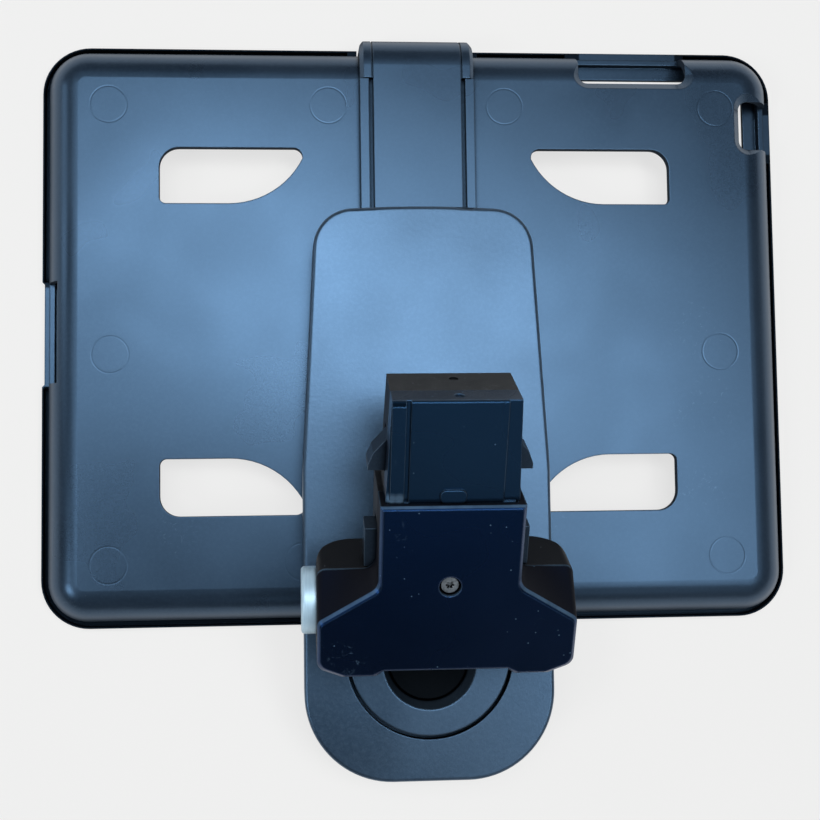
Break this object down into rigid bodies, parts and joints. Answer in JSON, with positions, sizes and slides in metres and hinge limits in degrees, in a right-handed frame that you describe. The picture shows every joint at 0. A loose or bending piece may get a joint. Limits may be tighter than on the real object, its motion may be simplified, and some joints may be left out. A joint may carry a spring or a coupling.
{
  "type": "headrest tablet mount",
  "caption": "Tablet mount for a car headrest: a moulded tablet shell with a sprung sliding hook, on a turning arm with a tilting T-shaped plug and snap levers.",
  "frame": {"origin": "below the middle of the shell, in the plane of the rim's front", "axes": "+Z out of the shell's back, +Y towards the edge with the sliding hook, +X along the shell's long side"},
  "size_m": [0.25, 0.2415, 0.1009],
  "materials": {
    "shell_plastic": "satin",
    "arm_plastic": "fine grain",
    "plug_plastic": "satin",
    "dark_plastic": "satin",
    "washer_plastic": "matt",
    "button_metal": "brushed",
    "steel": "plain",
    "dark_steel": "blackened"
  },
  "bodies": {
    "cradle": {"tablet_shell": "shell_plastic", "turntable": "dark_plastic", "turntable_screws": "steel", "turntable_washer": "washer_plastic", "pivot_retainer": "steel", "retainer_screws": "steel", "latch_spring": "steel"},
    "hook": {"tablet_latch": "shell_plastic"},
    "arm": {"arm_base": "arm_plastic", "arm_cover": "arm_plastic", "arm_screws": "steel", "disc_washer": "washer_plastic"},
    "swivel": {"swivel_disc": "arm_plastic", "hinge_neck": "dark_plastic", "neck_screws": "steel", "disc_retainer": "steel"},
    "plug": {"plug_body": "plug_plastic", "plug_front_cover": "plug_plastic", "nose_front": "plug_plastic", "cover_screw": "dark_steel", "latch_pins": "steel", "friction_washer": "washer_plastic", "bow_spring": "steel", "lock_spring": "steel"},
    "button": {"tilt_button": "button_metal", "hinge_axle": "steel", "lock_disc": "steel"},
    "left_lever": {"plug_latch_left": "plug_plastic"},
    "right_lever": {"plug_latch_right": "plug_plastic"}
  },
  "joints": [
    {"name": "hook_slide", "type": "slide", "parent": "cradle", "child": "hook", "axis": [0, 1, 0], "range_m": [0, 0.008], "stiffness_N_per_m": 400, "springref_m": -0.006, "deforming": ["latch_spring"]},
    {"name": "arm_swivel", "type": "hinge", "parent": "cradle", "child": "arm", "pos_m": [0, 0, 0.02], "axis": [0, 0, 1], "range_deg": [-90, 90]},
    {"name": "disc_swivel", "type": "hinge", "parent": "arm", "child": "swivel", "pos_m": [0, -0.1034, 0.026], "axis": [0, 0, 1], "range_deg": [-90, 90]},
    {"name": "plug_tilt", "type": "hinge", "parent": "swivel", "child": "plug", "pos_m": [0, -0.0824, 0.0611], "axis": [1, 0, 0], "range_deg": [-25, 30]},
    {"name": "button_push", "type": "slide", "parent": "plug", "child": "button", "axis": [1, 0, 0], "range_m": [0, 0.0022], "stiffness_N_per_m": 3000, "springref_m": -0.002, "deforming": ["lock_spring"]},
    {"name": "left_squeeze", "type": "hinge", "parent": "plug", "child": "left_lever", "pos_m": [-0.0145, -0.07138, 0.06771], "axis": [0, 0.4352, -0.9003], "range_deg": [0, 8], "stiffness_Nm_per_rad": 1, "springref_deg": -6.88, "deforming": ["bow_spring"]},
    {"name": "right_squeeze", "type": "hinge", "parent": "plug", "child": "right_lever", "pos_m": [0.0145, -0.07138, 0.06771], "axis": [0, -0.4352, 0.9003], "range_deg": [0, 8], "stiffness_Nm_per_rad": 1, "springref_deg": -6.88, "deforming": ["bow_spring"]}
  ]
}
